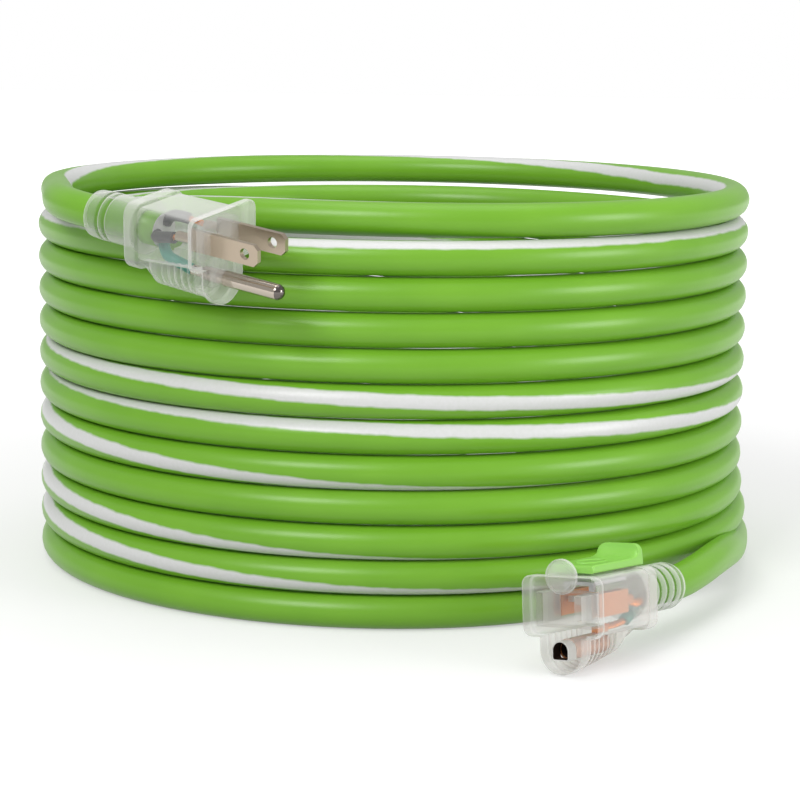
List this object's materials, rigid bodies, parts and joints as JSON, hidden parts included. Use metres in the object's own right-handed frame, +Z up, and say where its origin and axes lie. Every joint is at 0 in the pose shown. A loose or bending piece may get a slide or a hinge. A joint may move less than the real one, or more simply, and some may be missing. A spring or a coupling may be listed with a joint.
{
  "type": "shore power cord",
  "caption": "Outdoor shore power extension cord coiled as a tall drum, with a clear moulded three-pin plug, a clear locking connector and a sliding thumb lock",
  "frame": {"origin": "middle of the part's footprint, on the floor that the coil stands on", "axes": "+Z up along the coil's axis; -Y is the side that shows the plug and the connector; +X is the side where the connector's lead leaves the coil"},
  "size_m": [0.2398, 0.2864, 0.1294],
  "materials": {
    "jacket": "glossy green jacket with a pale lengthwise stripe",
    "clear_moulding": "clear flexible moulding, glossy",
    "blade_metal": "satin nickel plate",
    "pin_metal": "bright nickel plate",
    "copper": "bare copper",
    "core_black": "satin black insulation",
    "core_white": "satin white insulation",
    "core_green": "satin green insulation",
    "lock_plastic": "light green moulded plastic",
    "steel": "satin steel",
    "lamp_glass": "clear"
  },
  "bodies": {
    "cord_set": {"cord_coil": "jacket", "plug_lead": "jacket", "connector_lead": "jacket", "plug_overmould": "clear_moulding", "plug_bridge": "clear_moulding", "plug_line_blade": "blade_metal", "plug_neutral_blade": "blade_metal", "plug_ground_pin": "pin_metal", "plug_line_conductor": "core_black", "plug_neutral_conductor": "core_black", "plug_ground_conductor": "core_green", "plug_strands": "copper", "connector_overmould": "clear_moulding", "connector_face_insert": "clear_moulding", "connector_line_contact": "copper", "connector_neutral_contact": "copper", "connector_ground_contact": "copper", "connector_line_conductor": "core_black", "connector_neutral_conductor": "core_white", "connector_ground_conductor": "core_green", "connector_strands": "copper", "connector_lamp": "lamp_glass", "connector_lamp_resistor": "steel"},
    "lock": {"lock_slide": "lock_plastic", "lock_plate": "steel"}
  },
  "joints": [
    {"name": "lock_slide_travel", "type": "slide", "parent": "cord_set", "child": "lock", "axis": [0.5861, 0.8066, -0.0767], "range_m": [0, 0.0045]}
  ]
}
